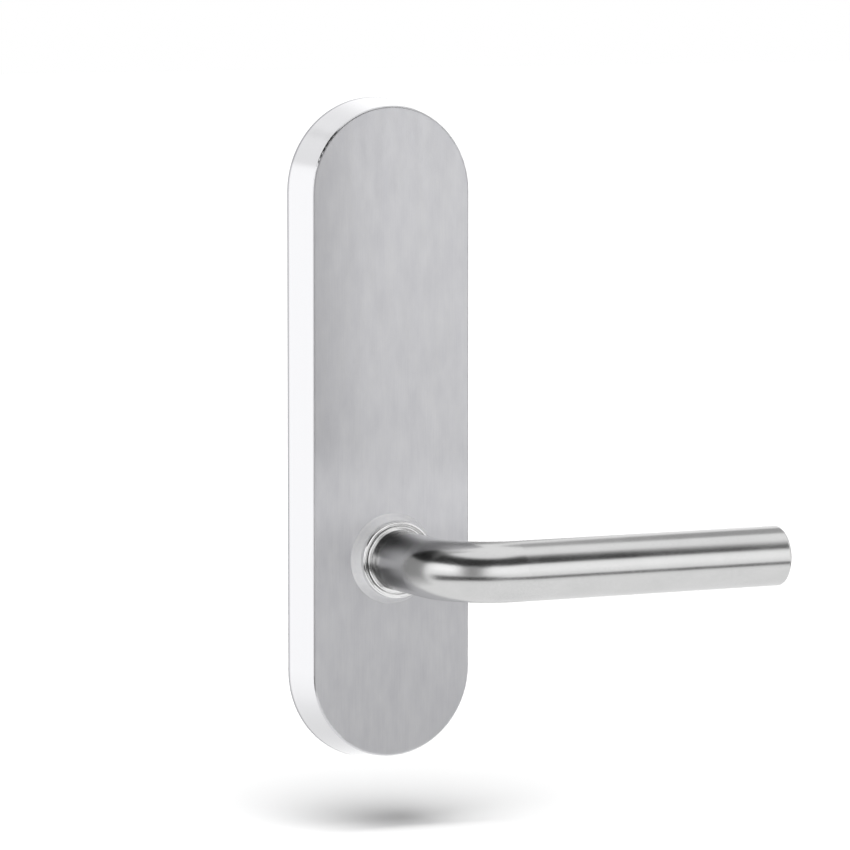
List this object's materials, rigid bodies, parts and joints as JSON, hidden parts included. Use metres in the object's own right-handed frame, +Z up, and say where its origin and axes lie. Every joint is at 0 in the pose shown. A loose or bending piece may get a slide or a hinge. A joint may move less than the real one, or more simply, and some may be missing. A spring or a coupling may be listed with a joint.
{
  "type": "lever handle on plate",
  "caption": "Door lever of bent round bar on a long round-ended plate, with a sprung turning neck, square spindle and hidden fixing posts.",
  "frame": {"origin": "the spindle axis on the door face, which is the plane of the plate's back rim", "axes": "+Z up along the plate, -Y out of the door towards the user, +X along the lever"},
  "size_m": [0.143, 0.111, 0.211],
  "materials": {
    "satin_stainless": "satin, brushed along the length",
    "turned_stainless": "fine turned, nearly bright",
    "acetal": "natural acetal, moulded",
    "zinc_sheet": "zinc plated sheet",
    "zinc_hardware": "bright zinc plated",
    "stud_steel": "machined steel",
    "spring_steel": "drawn spring steel, oiled",
    "black_steel": "black oxide",
    "bright_bar": "bright drawn square bar"
  },
  "bodies": {
    "plate": {"cover_plate": "satin_stainless", "boss_ring": "satin_stainless", "bearing_collar": "turned_stainless", "neck_bush": "acetal", "chassis_plate": "zinc_sheet", "collar_nut": "zinc_hardware", "stud_washers": "zinc_hardware", "stud_nuts": "zinc_hardware", "upper_fixing_post": "zinc_hardware", "lower_fixing_post": "zinc_hardware", "rest_stop_pin": "zinc_hardware", "travel_stop_pin": "zinc_hardware", "weld_studs": "stud_steel", "return_spring": "spring_steel"},
    "lever": {"lever_tube": "satin_stainless", "lever_end_cap": "satin_stainless", "lever_stem": "stud_steel", "neck_ring": "turned_stainless", "grub_screw": "black_steel", "thrust_washer": "zinc_hardware", "spring_driver": "zinc_sheet", "circlip": "spring_steel", "spindle": "bright_bar"}
  },
  "joints": [
    {"name": "lever_turn", "type": "hinge", "parent": "plate", "child": "lever", "pos_m": [0, 0, 0], "axis": [0, 1, 0], "range_deg": [0, 45], "stiffness_Nm_per_rad": 0.77, "springref_deg": -75.06, "deforming": ["return_spring"]}
  ]
}
